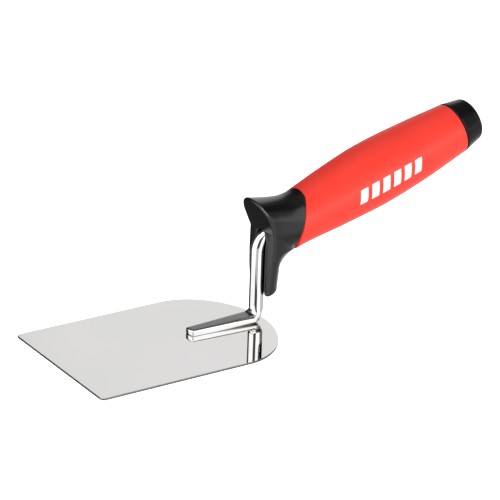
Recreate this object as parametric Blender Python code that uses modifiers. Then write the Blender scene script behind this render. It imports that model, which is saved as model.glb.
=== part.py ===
"""Flat plastering trowel: polished blade, bent steel shank and a two-colour hollow handle.

Metres, +Z up. The origin is the middle of the blade's underside: +X runs from the blade towards
the handle and +Y across the blade. The handle's own frame has +Z along the handle to its butt
and -X on the thumb side. A station is a distance along the handle's axis, towards the butt, from
the place where grip and bolster meet.
"""

import math

import bmesh
import bpy
from mathutils import Matrix, Vector

MM = 0.001

# Blade
BLADE_WIDTH = 80 * MM
BLADE_LENGTH = 112.4 * MM
BLADE_THICKNESS = 1.0 * MM
REAR_DEPTH = 33 * MM  # how far the rounded rear reaches forward
REAR_FULLNESS = 1.93  # exponent of the rear's outline, 2 for an ellipse
FRONT_CORNER_RADIUS = 2.2 * MM

# Shank: foot, neck and tang of one rod
ROD_DIAMETER = 7.1 * MM
NECK_SETBACK = 4.2 * MM  # from the blade's rear edge to the neck's axis
NECK_TOP = 36.0 * MM  # height where the neck starts to bend back
CROWN_RADIUS = 9 * MM  # of that bend
HANDLE_ANGLE = math.radians(17.9)
TANG_LENGTH = 40 * MM
HEEL_RADIUS = 4.6 * MM  # of the bend between neck and foot
FOOT_REACH = 37.2 * MM  # from the neck's axis to the foot's tip
FOOT_TIP_WIDTH = 5.8 * MM
FOOT_TIP_HEIGHT = 2.7 * MM
FOOT_HEEL_WIDTH = 9.6 * MM
FOOT_HEEL_HEIGHT = 3.7 * MM
FOOT_SQUARENESS = 7.0  # exponent of the foot's section, 2 for a round one

# Grip
STATION_REACH = 16.5 * MM  # from the end of the crown bend to station 0
GRIP_LENGTH = 94.6 * MM
GRIP_FRONT_RADIUS = 12.8 * MM
GRIP_BELLY_RADIUS = 15.8 * MM
GRIP_REAR_RADIUS = 13.0 * MM
SLEEVE_WALL = 1.5 * MM  # at its thinnest
SEAM_SETBACK = 4.6 * MM  # the grip's front edge on the axis, forward of station 0
SEAM_SLOPE = 0.56  # run of that slanted edge along the axis per height

# Bolster
BOLSTER_REACH = 20 * MM  # from station 0 forward to the bolster's face
THUMB_RISE = 20.8 * MM  # top of the face above the axis
THUMB_LEAN = 2.0 * MM  # how far that top leans forward of the face
FACE_HALF_WIDTH = 11.2 * MM
FACE_BELLY = 6.5 * MM  # height of the face's widest level above the axis
FACE_SQUARENESS = 3.2  # exponent of the face's lower half
RIM_ROUND = 0.8 * MM

# Finger guard, upright beside the neck
GUARD_FRONT = 1.8 * MM  # its front face behind the neck's axis
GUARD_DEPTH = 5.9 * MM
GUARD_HALF_WIDTH = 8.7 * MM
GUARD_SWELL = 0.8 * MM  # how much deeper it is where it meets the bolster
GUARD_TIP = 14.2 * MM  # height of its lower end above the blade's underside
GUARD_TIP_ROUND = 4.6 * MM
GUARD_FILLET = 6.2 * MM

# Inside the handle
CORE_WALL = 1.4 * MM
SOCKET_WALL = 2.2 * MM
SOCKET_LENGTH = 36 * MM
HOLLOW_START = 3 * MM  # station where the core's hollow starts

# End cap
CAP_LENGTH = 12.4 * MM
CAP_TAPER = 1.8 * MM  # how much narrower the cap's far end is
CAP_EDGE_ROUND = 2.6 * MM
CAP_WALL = 2.6 * MM
PLUG_LENGTH = 9 * MM
PLUG_WALL = 1.8 * MM

# Gaps between pieces
FIT_GAP = 0.3 * MM
GROOVE_GAP = 0.7 * MM  # round the neck, in the guard's groove and the bolster's mouth

# Places that follow from the sizes above
ROD_RADIUS = ROD_DIAMETER / 2
NECK_X = BLADE_LENGTH / 2 - NECK_SETBACK
FOOT_BOTTOM = BLADE_THICKNESS + FIT_GAP
CROWN_TURN = math.pi / 2 - HANDLE_ANGLE
AXIS = Vector((math.cos(HANDLE_ANGLE), 0, math.sin(HANDLE_ANGLE)))
UP = Vector((-AXIS.z, 0, AXIS.x))
CROWN_CENTRE = Vector((NECK_X + CROWN_RADIUS, 0, NECK_TOP))
CROWN_END = CROWN_CENTRE + UP * CROWN_RADIUS
HANDLE_ORIGIN = CROWN_END + AXIS * STATION_REACH
GRIP_RUN_IN = -0.15 * GRIP_LENGTH  # station where the grip's outline starts, inside the bolster
CORE_RADIUS = min(GRIP_FRONT_RADIUS, GRIP_REAR_RADIUS) - SLEEVE_WALL
BORE_RADIUS = CORE_RADIUS - CORE_WALL
SOCKET_RADIUS = ROD_RADIUS + FIT_GAP

STEEL = (0.62, 0.61, 0.60)
BLACK = (0.012, 0.012, 0.013)
RED = (0.80, 0.045, 0.03)


def clear_scene():
    for obj in list(bpy.data.objects):
        bpy.data.objects.remove(obj)
    for collection in list(bpy.data.collections):
        bpy.data.collections.remove(collection)


def new_collection(name):
    collection = bpy.data.collections.new(name)
    bpy.context.scene.collection.children.link(collection)
    return collection


def new_material(name, color, roughness, metallic):
    material = bpy.data.materials.new(name)
    material.use_nodes = True
    shader = material.node_tree.nodes["Principled BSDF"]
    shader.inputs["Base Color"].default_value = (*color, 1)
    shader.inputs["Roughness"].default_value = roughness
    shader.inputs["Metallic"].default_value = metallic
    return material


def add_object(name, data, collection, material=None, parent=None):
    obj = bpy.data.objects.new(name, data)
    collection.objects.link(obj)
    obj.parent = parent
    if material:
        data.materials.append(material)
    if collection.name == "cutters":
        obj.hide_render = True
        obj.display_type = "WIRE"
    return obj


def boolean(obj, operation, other):
    modifier = obj.modifiers.new(operation.lower() + "_" + other.name, "BOOLEAN")
    modifier.operation = operation
    modifier.object = other
    modifier.solver = "EXACT"


def loft(name, rings):
    """A closed mesh through rings of equal point counts, capped at both ends."""
    mesh = bpy.data.meshes.new(name)
    bm = bmesh.new()
    rows = [[bm.verts.new(point) for point in ring] for ring in rings]
    count = len(rows[0])
    for low, high in zip(rows, rows[1:]):
        for k in range(count):
            n = (k + 1) % count
            bm.faces.new((low[k], low[n], high[n], high[k]))
    bm.faces.new(rows[0])
    bm.faces.new(rows[-1])
    bmesh.ops.recalc_face_normals(bm, faces=bm.faces)
    bm.to_mesh(mesh)
    bm.free()
    mesh.shade_smooth()
    mesh.set_sharp_from_angle(angle=math.radians(35))
    return mesh


def turned(name, profile, collection, material, parent):
    """A profile of (radius, height) points turned about the local Z axis."""
    mesh = bpy.data.meshes.new(name)
    bm = bmesh.new()
    points = [bm.verts.new((radius, 0, height)) for radius, height in profile]
    for first, second in zip(points, points[1:]):
        bm.edges.new((first, second))
    if profile[0][0] > 0:
        bm.edges.new((points[-1], points[0]))
    bm.to_mesh(mesh)
    bm.free()
    obj = add_object(name, mesh, collection, material, parent)
    screw = obj.modifiers.new("turn", "SCREW")
    screw.axis = "Z"
    screw.steps = 48
    screw.render_steps = 48
    screw.use_merge_vertices = True
    screw.merge_threshold = 0.00001
    screw.use_smooth_shade = True
    return obj


def signed_power(value, power):
    return math.copysign(abs(value) ** power, value)


def oval(count, half_width, top, bottom, level=0.0, squareness=(2.0, 2.0)):
    """(across, up) points of an oval; its widest level, top, bottom and two exponents are set apart."""
    points = []
    for k in range(count):
        angle = 2 * math.pi * k / count
        upper = math.sin(angle) >= 0
        power = 2 / squareness[0 if upper else 1]
        reach = top - level if upper else level - bottom
        across = half_width * signed_power(math.cos(angle), power)
        points.append((across, level + reach * signed_power(math.sin(angle), power)))
    return points


def through(points, where):
    """Height at WHERE of the smooth curve through (place, height) points."""
    last = len(points) - 1
    index = min(last - 1, sum(1 for place, _ in points[1:] if place < where))
    slopes = []
    for k in (index, index + 1):
        low, high = points[max(k - 1, 0)], points[min(k + 1, last)]
        slopes.append((high[1] - low[1]) / (high[0] - low[0]))
    (start, first), (end, second) = points[index], points[index + 1]
    span = end - start
    t = (where - start) / span
    return (
        (2 * t**3 - 3 * t**2 + 1) * first
        + (t**3 - 2 * t**2 + t) * span * slopes[0]
        + (3 * t**2 - 2 * t**3) * second
        + (t**3 - t**2) * span * slopes[1]
    )


def grip_radius(station):
    """Outer radius of the grip, and of the bolster ahead of it."""
    front_mean = (GRIP_FRONT_RADIUS + GRIP_BELLY_RADIUS) / 2
    rear_mean = (GRIP_REAR_RADIUS + GRIP_BELLY_RADIUS) / 2
    outline = (
        (GRIP_RUN_IN, GRIP_FRONT_RADIUS - 0.2 * MM),
        (0, GRIP_FRONT_RADIUS),
        (0.22 * GRIP_LENGTH, front_mean + 0.25 * MM),
        (0.47 * GRIP_LENGTH, GRIP_BELLY_RADIUS),
        (0.75 * GRIP_LENGTH, rear_mean + 0.5 * MM),
        (GRIP_LENGTH, GRIP_REAR_RADIUS),
    )
    return through(outline, max(station, GRIP_RUN_IN))


def quarter_turns(steps, start=0):
    """Angles from 0 to a right angle."""
    return [math.pi / 2 * k / steps for k in range(start, steps + 1)]


def blade_outline():
    half = BLADE_WIDTH / 2
    front = -BLADE_LENGTH / 2
    rear_start = BLADE_LENGTH / 2 - REAR_DEPTH
    side = []
    for turn in quarter_turns(4):
        along = front + FRONT_CORNER_RADIUS * (1 - math.cos(turn))
        side.append((along, half - FRONT_CORNER_RADIUS * (1 - math.sin(turn))))
    for turn in quarter_turns(20)[:-1]:
        along = rear_start + REAR_DEPTH * math.sin(turn) ** (2 / REAR_FULLNESS)
        side.append((along, half * math.cos(turn) ** (2 / REAR_FULLNESS)))
    rear_point = (BLADE_LENGTH / 2, 0.0)
    return side + [rear_point] + [(along, -across) for along, across in reversed(side)]


def build_blade(collection, material):
    curve = bpy.data.curves.new("blade", "CURVE")
    curve.dimensions = "2D"
    curve.fill_mode = "BOTH"
    curve.extrude = BLADE_THICKNESS / 2
    outline = blade_outline()
    spline = curve.splines.new("POLY")
    spline.points.add(len(outline) - 1)
    for point, (along, across) in zip(spline.points, outline):
        point.co = (along, across, 0, 1)
    spline.use_cyclic_u = True
    blade = add_object("blade", curve, collection, material)
    blade.location.z = BLADE_THICKNESS / 2


def foot_stations():
    """(centre, heading, width, height, squareness) of the foot's sections, from its tip."""
    stations = []
    length = FOOT_REACH - HEEL_RADIUS
    for t, shrink in ((0, 0.86), (0.015, 0.97), (0.04, 1), (0.35, 1), (0.7, 1), (1, 1)):
        width = FOOT_TIP_WIDTH + (FOOT_HEEL_WIDTH - FOOT_TIP_WIDTH) * t
        height = FOOT_TIP_HEIGHT + (FOOT_HEEL_HEIGHT - FOOT_TIP_HEIGHT) * t
        centre = Vector((NECK_X - FOOT_REACH + length * t, 0, FOOT_BOTTOM + height / 2))
        stations.append((centre, 0.0, width * shrink, height * shrink, FOOT_SQUARENESS))
    return stations


def heel_stations():
    """Sections of the bend where the flat foot becomes the round rod."""
    stations = []
    middle = FOOT_BOTTOM + FOOT_HEEL_HEIGHT / 2 + HEEL_RADIUS
    bend = Vector((NECK_X - HEEL_RADIUS, 0, middle))
    for turn in quarter_turns(8, 1):
        t = 1 - math.cos(turn)
        centre = bend + HEEL_RADIUS * Vector((math.sin(turn), 0, -math.cos(turn)))
        width = FOOT_HEEL_WIDTH + (ROD_DIAMETER - FOOT_HEEL_WIDTH) * t
        height = FOOT_HEEL_HEIGHT + (ROD_DIAMETER - FOOT_HEEL_HEIGHT) * t
        squareness = FOOT_SQUARENESS + (2 - FOOT_SQUARENESS) * t
        stations.append((centre, turn, width, height, squareness))
    return stations


def rod_station(centre, heading):
    return (centre, heading, ROD_DIAMETER, ROD_DIAMETER, 2.0)


def crown_stations():
    """Sections of the round rod from the top of the neck to the end of the bend."""
    stations = []
    for k in range(11):
        turn = CROWN_TURN * k / 10
        reach = Vector((-math.cos(turn), 0, math.sin(turn)))
        stations.append(rod_station(CROWN_CENTRE + CROWN_RADIUS * reach, math.pi / 2 - turn))
    return stations


def rings_along(stations, count, swell=0.0):
    rings = []
    for centre, heading, width, height, squareness in stations:
        normal = Vector((-math.sin(heading), 0, math.cos(heading)))
        half_height = height / 2 + swell
        section = oval(count, width / 2 + swell, half_height, -half_height, 0, (squareness,) * 2)
        rings.append([centre + Vector((0, across, 0)) + normal * up for across, up in section])
    return rings


def build_shank(collection, material):
    tang_end = rod_station(CROWN_END + AXIS * TANG_LENGTH, HANDLE_ANGLE)
    stations = foot_stations() + heel_stations() + crown_stations() + [tang_end]
    add_object("shank", loft("shank", rings_along(stations, 24)), collection, material)


def bolster_rings():
    """Rings of the bolster in the handle's frame, from its face to behind the seam."""
    face = -BOLSTER_REACH
    rim = face + RIM_ROUND
    rear = SEAM_SLOPE * GRIP_FRONT_RADIUS
    rows = []
    for station, inset in ((face, RIM_ROUND), (face + 0.3 * RIM_ROUND, 0.3 * RIM_ROUND), (rim, 0)):
        rows.append((station, THUMB_RISE - inset, FACE_HALF_WIDTH - inset, 1.0))
    for t in (0.11, 0.22, 0.33, 0.44, 0.56, 0.67, 0.78, 0.89, 1):
        station = rim + (rear - rim) * t
        flare = max(0.0, 1 - t / 0.72)  # the thumb rest runs out at 0.72 of the way
        radius = grip_radius(station)
        top = radius + (THUMB_RISE - radius) * flare**1.75
        half_width = radius + (FACE_HALF_WIDTH - radius) * min(1.0, 1.25 * flare) ** 0.8
        rows.append((station, top, half_width, flare**1.5))
    rings = []
    for station, top, half_width, share in rows:
        squareness = (2.0, 2.0 + (FACE_SQUARENESS - 2.0) * share)
        ring = []
        bottom = -grip_radius(station)
        for across, up in oval(36, half_width, top, bottom, FACE_BELLY * share, squareness):
            lean = THUMB_LEAN * share * max(0.0, up / THUMB_RISE) ** 2
            ring.append(Vector((-up, across, station - lean)))
        rings.append(ring)
    return rings


def guard_levels():
    """(height, half width, front, rear, lift) of the finger guard's sections, upwards.

    Lift is how much of the bolster's roundness the section follows.
    """
    front = NECK_X + GUARD_FRONT
    rear = front + GUARD_DEPTH
    root = rear + GUARD_SWELL
    meet = root + GUARD_FILLET * (1 - math.cos(CROWN_TURN))
    under = HANDLE_ORIGIN - UP * GRIP_FRONT_RADIUS
    top = under.z + (meet - under.x) * math.tan(HANDLE_ANGLE) + FIT_GAP
    base = top - GUARD_FILLET * math.sin(CROWN_TURN)
    levels = []
    for turn in quarter_turns(5):
        tuck = 1 - math.sin(turn)
        height = GUARD_TIP + GUARD_TIP_ROUND * (1 - math.cos(turn))
        half_width = GUARD_HALF_WIDTH - GUARD_TIP_ROUND * tuck
        tip_front = front + 0.2 * GUARD_DEPTH * tuck
        levels.append((height, half_width, tip_front, rear - 0.3 * GUARD_DEPTH * tuck, 0))
    round_top = GUARD_TIP + GUARD_TIP_ROUND
    for t in (0.5, 1):
        height = round_top + (base - round_top) * t
        swell = GUARD_SWELL * t
        levels.append((height, GUARD_HALF_WIDTH + swell / 2, front, rear + swell, t))
    for k in range(1, 7):
        turn = CROWN_TURN * k / 6
        height = base + GUARD_FILLET * math.sin(turn)
        half_width = GUARD_HALF_WIDTH + GUARD_SWELL * (0.5 + 0.5 * k / 6)
        levels.append((height, half_width, front, root + GUARD_FILLET * (1 - math.cos(turn)), 1))
    inside = CROWN_END.z + ROD_RADIUS
    levels.append((inside, FACE_HALF_WIDTH - RIM_ROUND / 2, front, meet, 0))
    return levels


def guard_rings():
    rings = []
    for height, half_width, front, rear, lift in guard_levels():
        depth = rear - front
        ring = []
        for across, back in oval(32, half_width, depth, 0, 0.1 * depth, (2.7, 3.0)):
            inner = min(abs(across), 0.95 * GRIP_FRONT_RADIUS)
            drop = GRIP_FRONT_RADIUS - math.sqrt(GRIP_FRONT_RADIUS**2 - inner**2)
            rise = lift * back / depth * drop / math.cos(HANDLE_ANGLE)
            ring.append(Vector((front + back, across, height + rise)))
        rings.append(ring)
    return rings


def build_handle_core(collection, cutters, material, frame, behind_seam):
    bolster_mesh = loft("bolster_blank", bolster_rings())
    bolster = add_object("bolster_blank", bolster_mesh, cutters, None, frame)
    boolean(bolster, "DIFFERENCE", behind_seam)
    guard = add_object("guard_blank", loft("guard_blank", guard_rings()), cutters)
    front = -BOLSTER_REACH / 2
    rear = GRIP_LENGTH - FIT_GAP
    socket_end = HOLLOW_START + SOCKET_LENGTH
    profile = [
        (SOCKET_RADIUS, socket_end),
        (SOCKET_RADIUS + SOCKET_WALL, socket_end),
        (SOCKET_RADIUS + SOCKET_WALL, HOLLOW_START),
        (BORE_RADIUS, HOLLOW_START),
        (BORE_RADIUS, rear),
        (CORE_RADIUS, rear),
        (CORE_RADIUS, front),
        (SOCKET_RADIUS, front),
    ]
    core = turned("handle_core", profile, collection, material, frame)
    boolean(core, "UNION", bolster)
    boolean(core, "UNION", guard)
    below = rod_station(Vector((NECK_X, 0, 0)), math.pi / 2)
    beyond = rod_station(CROWN_END + AXIS * ROD_RADIUS, HANDLE_ANGLE)
    channel_stations = [below] + crown_stations() + [beyond]
    channel_mesh = loft("neck_channel", rings_along(channel_stations, 28, GROOVE_GAP))
    boolean(core, "DIFFERENCE", add_object("neck_channel", channel_mesh, cutters))
    bore_start = rod_station(CROWN_END, HANDLE_ANGLE)
    bore_end = rod_station(HANDLE_ORIGIN + AXIS * (socket_end + ROD_RADIUS), HANDLE_ANGLE)
    bore_mesh = loft("tang_bore", rings_along([bore_start, bore_end], 48, FIT_GAP))
    boolean(core, "DIFFERENCE", add_object("tang_bore", bore_mesh, cutters))


def build_grip_sleeve(collection, material, frame, before_seam):
    inner = CORE_RADIUS + FIT_GAP
    steps = 26
    profile = [(inner, GRIP_RUN_IN), (inner, GRIP_LENGTH)]
    for k in range(steps, -1, -1):
        station = GRIP_RUN_IN + (GRIP_LENGTH - GRIP_RUN_IN) * k / steps
        profile.append((grip_radius(station), station))
    sleeve = turned("grip_sleeve", profile, collection, material, frame)
    boolean(sleeve, "DIFFERENCE", before_seam)


def build_end_cap(collection, material, frame):
    start = GRIP_LENGTH + FIT_GAP
    end = GRIP_LENGTH + CAP_LENGTH
    plug = BORE_RADIUS - FIT_GAP
    profile = [(0, end)]
    for turn in quarter_turns(6):
        radius = GRIP_REAR_RADIUS - CAP_TAPER - CAP_EDGE_ROUND * (1 - math.sin(turn))
        profile.append((radius, end - CAP_EDGE_ROUND * (1 - math.cos(turn))))
    profile += [
        (GRIP_REAR_RADIUS, start),
        (plug, start),
        (plug, start - PLUG_LENGTH),
        (plug - PLUG_WALL, start - PLUG_LENGTH),
        (plug - PLUG_WALL, end - CAP_WALL),
        (0, end - CAP_WALL),
    ]
    turned("end_cap", profile, collection, material, frame)


def seam_block(name, cutters, frame, side):
    """A block that ends half a gap short of the slanted seam, behind it (+1) or before it (-1)."""
    size = 4 * (GRIP_BELLY_RADIUS + BOLSTER_REACH)
    mesh = bpy.data.meshes.new(name)
    bm = bmesh.new()
    bmesh.ops.create_cube(bm, size=size)
    bm.to_mesh(mesh)
    bm.free()
    block = add_object(name, mesh, cutters, None, frame)
    tilt = math.atan(SEAM_SLOPE)
    normal = Vector((math.sin(tilt), 0, math.cos(tilt)))
    middle = Vector((0, 0, -SEAM_SETBACK)) + normal * side * (size - FIT_GAP) / 2
    block.matrix_local = Matrix.Translation(middle) @ Matrix.Rotation(tilt, 4, "Y")
    return block


def build():
    clear_scene()
    parts = new_collection("plastering_trowel")
    cutters = new_collection("cutters")
    steel = new_material("polished_steel", STEEL, 0.08, 1.0)
    black = new_material("black_plastic", BLACK, 0.38, 0.0)
    red = new_material("red_soft_grip", RED, 0.45, 0.0)
    frame = bpy.data.objects.new("handle_frame", None)
    parts.objects.link(frame)
    frame.location = HANDLE_ORIGIN
    frame.rotation_euler.y = math.pi / 2 - HANDLE_ANGLE
    build_blade(parts, steel)
    build_shank(parts, steel)
    build_handle_core(parts, cutters, black, frame, seam_block("behind_seam", cutters, frame, 1))
    build_grip_sleeve(parts, red, frame, seam_block("before_seam", cutters, frame, -1))
    build_end_cap(parts, black, frame)


build()
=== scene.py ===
from math import copysign, cos, pi, radians, sin, sqrt, tan

import bmesh
import bpy
from mathutils import Matrix, Vector


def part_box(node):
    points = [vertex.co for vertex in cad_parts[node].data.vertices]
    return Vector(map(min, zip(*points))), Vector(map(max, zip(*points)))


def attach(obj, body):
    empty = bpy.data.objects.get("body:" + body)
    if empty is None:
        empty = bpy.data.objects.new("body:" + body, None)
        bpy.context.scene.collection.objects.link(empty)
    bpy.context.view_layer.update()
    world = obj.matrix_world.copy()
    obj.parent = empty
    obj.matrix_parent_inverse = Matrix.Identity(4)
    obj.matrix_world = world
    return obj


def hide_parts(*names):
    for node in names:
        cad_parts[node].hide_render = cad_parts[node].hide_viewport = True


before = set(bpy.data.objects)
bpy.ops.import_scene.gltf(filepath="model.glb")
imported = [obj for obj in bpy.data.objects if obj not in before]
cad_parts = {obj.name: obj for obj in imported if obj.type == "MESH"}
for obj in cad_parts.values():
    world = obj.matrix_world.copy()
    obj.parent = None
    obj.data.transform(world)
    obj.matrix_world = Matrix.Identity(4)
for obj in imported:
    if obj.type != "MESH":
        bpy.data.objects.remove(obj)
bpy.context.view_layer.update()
mm = 0.001
print("frame loaded")

# Where the pieces meet, from the CAD boxes and the tool's own drawing sizes.
layout = {
    "handleAngle": radians(17.9),
    "neckSetback": 4.2 * mm,  # neck axis ahead of the blade's rear edge
    "neckTop": 36.0 * mm,
    "crownRadius": 9.0 * mm,
    "stationReach": 16.5 * mm,  # from the end of the bend to station 0 of the handle
    "rodRadius": 3.55 * mm,
}
bladeLow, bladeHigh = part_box("blade")
neckX = bladeHigh.x - layout["neckSetback"]
axis = Vector((cos(layout["handleAngle"]), 0, sin(layout["handleAngle"])))
lift = Vector((-axis.z, 0, axis.x))
crownCentre = Vector((neckX + layout["crownRadius"], 0, layout["neckTop"]))
crownEnd = crownCentre + lift * layout["crownRadius"]
crownTurn = pi / 2 - layout["handleAngle"]
handleOrigin = crownEnd + axis * layout["stationReach"]


def onHandle(station, across, up):
    return handleOrigin + axis * station + lift * up + Vector((0, across, 0))


def fan(bm, row, hub):
    for k, vert in enumerate(row):
        bm.faces.new((vert, row[(k + 1) % len(row)], hub))


def skin(bm, rings, closeStart=True, closeEnd=True, loop=False):
    rows = [[bm.verts.new(point) for point in ring] for ring in rings]
    count = len(rows[0])
    pairs = list(zip(rows, rows[1:]))
    if loop:
        pairs.append((rows[-1], rows[0]))
    for low, high in pairs:
        for k in range(count):
            n = (k + 1) % count
            bm.faces.new((low[k], low[n], high[n], high[k]))
    ends = [] if loop else [(rows[0], closeStart), (rows[-1], closeEnd)]
    for row, wanted in ends:
        if wanted:
            fan(bm, row, bm.verts.new(sum((v.co for v in row), Vector()) / count))
    return rows


def inScene(name, data):
    made = bpy.data.objects.new(name, data)
    bpy.context.scene.collection.objects.link(made)
    return made


def meshPiece(name, bm, material, sharpAngle=40):
    bmesh.ops.recalc_face_normals(bm, faces=bm.faces)
    mesh = bpy.data.meshes.new(name)
    bm.to_mesh(mesh)
    bm.free()
    mesh.shade_smooth()
    mesh.set_sharp_from_angle(angle=radians(sharpAngle))
    piece = inScene(name, mesh)
    if material:
        mesh.materials.append(material)
    return piece


def loftPiece(name, rings, material, **kinds):
    bm = bmesh.new()
    skin(bm, rings, **kinds)
    return meshPiece(name, bm, material)


def finished(piece):
    graph = bpy.context.evaluated_depsgraph_get()
    mesh = bpy.data.meshes.new_from_object(piece.evaluated_get(graph))
    piece.modifiers.clear()
    piece.data = mesh
    return piece


def combine(piece, operation, tool):
    cut = piece.modifiers.new(operation.lower(), "BOOLEAN")
    cut.operation = operation
    cut.object = tool
    cut.solver = "EXACT"
    finished(piece)
    bpy.data.objects.remove(tool)


def settle(piece, slotName, *nodes):
    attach(piece, "root")
    if nodes:
        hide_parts(*nodes)
    return piece


def blend(low, high, share):
    return low + (high - low) * share


def fullTurn(count):
    return [2 * pi * k / count for k in range(count)]


def quarterTurn(steps, first=0):
    return [pi / 2 * k / steps for k in range(first, steps + 1)]


def rounded(radius, steps):
    return [(radius * (1 - cos(turn)), radius * (1 - sin(turn))) for turn in quarterTurn(steps)]


def easeThrough(points, where):
    last = len(points) - 1
    index = min(last - 1, sum(1 for place, _ in points[1:] if place < where))
    slopes = []
    for k in (index, index + 1):
        low, high = points[max(k - 1, 0)], points[min(k + 1, last)]
        slopes.append((high[1] - low[1]) / (high[0] - low[0]))
    (start, first), (end, second) = points[index], points[index + 1]
    span = end - start
    t = (where - start) / span
    return (
        (2 * t**3 - 3 * t**2 + 1) * first
        + (t**3 - 2 * t**2 + t) * span * slopes[0]
        + (3 * t**2 - 2 * t**3) * second
        + (t**3 - t**2) * span * slopes[1]
    )


def newGroup(name, inputs, outputs):
    group = bpy.data.node_groups.new(name, "ShaderNodeTree")
    for label, kind, value in inputs:
        socket = group.interface.new_socket(label, in_out="INPUT", socket_type="NodeSocket" + kind)
        socket.default_value = value
    for label, kind in outputs:
        group.interface.new_socket(label, in_out="OUTPUT", socket_type="NodeSocket" + kind)
    source = group.nodes.new("NodeGroupInput")
    sink = group.nodes.new("NodeGroupOutput")
    return group, source.outputs, sink.inputs


def plug(tree, value, socket):
    if isinstance(value, bpy.types.NodeSocket):
        tree.links.new(value, socket)
    else:
        socket.default_value = value


def maths(tree, operation, *values, clamp=False):
    node = tree.nodes.new("ShaderNodeMath")
    node.operation = operation
    node.use_clamp = clamp
    for k, value in enumerate(values):
        plug(tree, value, node.inputs[k])
    return node.outputs[0]


def times(tree, first, second):
    return maths(tree, "MULTIPLY", first, second)


def timesPlus(tree, value, factor, added):
    return maths(tree, "MULTIPLY_ADD", value, factor, added)


def between(tree, value, low, high, toLow=0.0, toHigh=1.0):
    node = tree.nodes.new("ShaderNodeMapRange")
    node.interpolation_type = "SMOOTHSTEP"
    for k, given in enumerate((value, low, high, toLow, toHigh)):
        plug(tree, given, node.inputs[k])
    return node.outputs[0]


def mixColor(tree, share, first, second):
    node = tree.nodes.new("ShaderNodeMix")
    node.data_type = "RGBA"
    for label, value in ((0, share), (6, first), (7, second)):
        plug(tree, value, node.inputs[label])
    return node.outputs[2]


def noise(tree, vector, scale, detail=2.0, roughness=0.5):
    node = tree.nodes.new("ShaderNodeTexNoise")
    plug(tree, vector, node.inputs["Vector"])
    plug(tree, scale, node.inputs["Scale"])
    node.inputs["Detail"].default_value = detail
    node.inputs["Roughness"].default_value = roughness
    return node.outputs["Fac"]


def stretched(tree, vector, factors):
    node = tree.nodes.new("ShaderNodeVectorMath")
    node.operation = "MULTIPLY"
    plug(tree, vector, node.inputs[0])
    node.inputs[1].default_value = factors
    return node.outputs[0]


def parted(tree, vector):
    node = tree.nodes.new("ShaderNodeSeparateXYZ")
    plug(tree, vector, node.inputs[0])
    return node.outputs


def placed(tree, group, **values):
    node = tree.nodes.new("ShaderNodeGroup")
    node.node_tree = group
    for label, value in values.items():
        plug(tree, value, node.inputs[label])
    return node.outputs


def newMaterial(name, color, roughness, metallic=0.0, **fixed):
    material = bpy.data.materials.new(name)
    material.use_nodes = True
    tree = material.node_tree
    shader = tree.nodes["Principled BSDF"]
    shader.inputs["Base Color"].default_value = (*color, 1)
    shader.inputs["Roughness"].default_value = roughness
    shader.inputs["Metallic"].default_value = metallic
    for label, value in fixed.items():
        shader.inputs[label].default_value = value
    place = tree.nodes.new("ShaderNodeTexCoord").outputs["Object"]
    return material, tree, shader.inputs, place


def bumped(tree, height, distance, strength=1.0):
    node = tree.nodes.new("ShaderNodeBump")
    node.inputs["Strength"].default_value = strength
    node.inputs["Distance"].default_value = distance
    plug(tree, height, node.inputs["Height"])
    return node.outputs["Normal"]


def buildSmudges():
    group, given, wanted = newGroup(
        "handlingSmudges",
        [("Vector", "Vector", (0, 0, 0)), ("Scale", "Float", 60.0), ("Amount", "Float", 0.5)],
        [("Mask", "Float")],
    )
    broad = noise(group, given["Vector"], given["Scale"], 4.0, 0.6)
    fine = noise(group, given["Vector"], times(group, given["Scale"], 9.0), 3.0, 0.55)
    patch = between(group, broad, 0.45, 0.72)
    mottled = times(group, patch, between(group, fine, 0.3, 0.7, 0.35, 1.0))
    plug(group, maths(group, "MULTIPLY", mottled, given["Amount"], clamp=True), wanted["Mask"])
    return group


def buildHairlines():
    group, given, wanted = newGroup(
        "polishingHairlines",
        [("Vector", "Vector", (0, 0, 0)), ("Scale", "Float", 900.0), ("Density", "Float", 0.5)],
        [("Mask", "Float"), ("Height", "Float")],
    )
    along = stretched(group, given["Vector"], (0.02, 1.0, 1.0))
    lines = noise(group, along, given["Scale"], 2.0, 0.6)
    slanted = group.nodes.new("ShaderNodeMapping")
    slanted.inputs["Rotation"].default_value = (0, 0, radians(24))
    plug(group, given["Vector"], slanted.inputs["Vector"])
    crossed = stretched(group, slanted.outputs[0], (0.015, 1.0, 1.0))
    strays = noise(group, crossed, times(group, given["Scale"], 0.6), 1.0, 0.5)
    strayShare = times(group, strays, 0.4)
    grain = maths(group, "ADD", times(group, lines, 0.6), strayShare)
    level = maths(group, "SUBTRACT", 0.72, times(group, given["Density"], 0.25))
    plug(group, between(group, grain, level, maths(group, "ADD", level, 0.1)), wanted["Mask"])
    plug(group, grain, wanted["Height"])
    return group


def buildMouldGrain():
    group, given, wanted = newGroup(
        "mouldGrain",
        [("Vector", "Vector", (0, 0, 0)), ("Scale", "Float", 2500.0), ("Seam", "Float", 0.0)],
        [("Height", "Float"), ("Shade", "Float")],
    )
    pebbles = group.nodes.new("ShaderNodeTexVoronoi")
    pebbles.feature = "SMOOTH_F1"
    plug(group, given["Vector"], pebbles.inputs["Vector"])
    plug(group, given["Scale"], pebbles.inputs["Scale"])
    fine = noise(group, given["Vector"], times(group, given["Scale"], 2.2), 3.0, 0.6)
    pebbled = times(group, pebbles.outputs["Distance"], 0.6)
    grain = maths(group, "ADD", pebbled, times(group, fine, 0.5))
    across = maths(group, "ABSOLUTE", parted(group, given["Vector"])["Y"])
    parting = between(group, across, 0.12 * mm, 0.22 * mm, 1.0, 0.0)
    raised = times(group, parting, given["Seam"])
    plug(group, maths(group, "ADD", grain, raised), wanted["Height"])
    broad = noise(group, given["Vector"], 70.0, 3.0, 0.6)
    plug(group, between(group, broad, 0.3, 0.7), wanted["Shade"])
    return group


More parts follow.
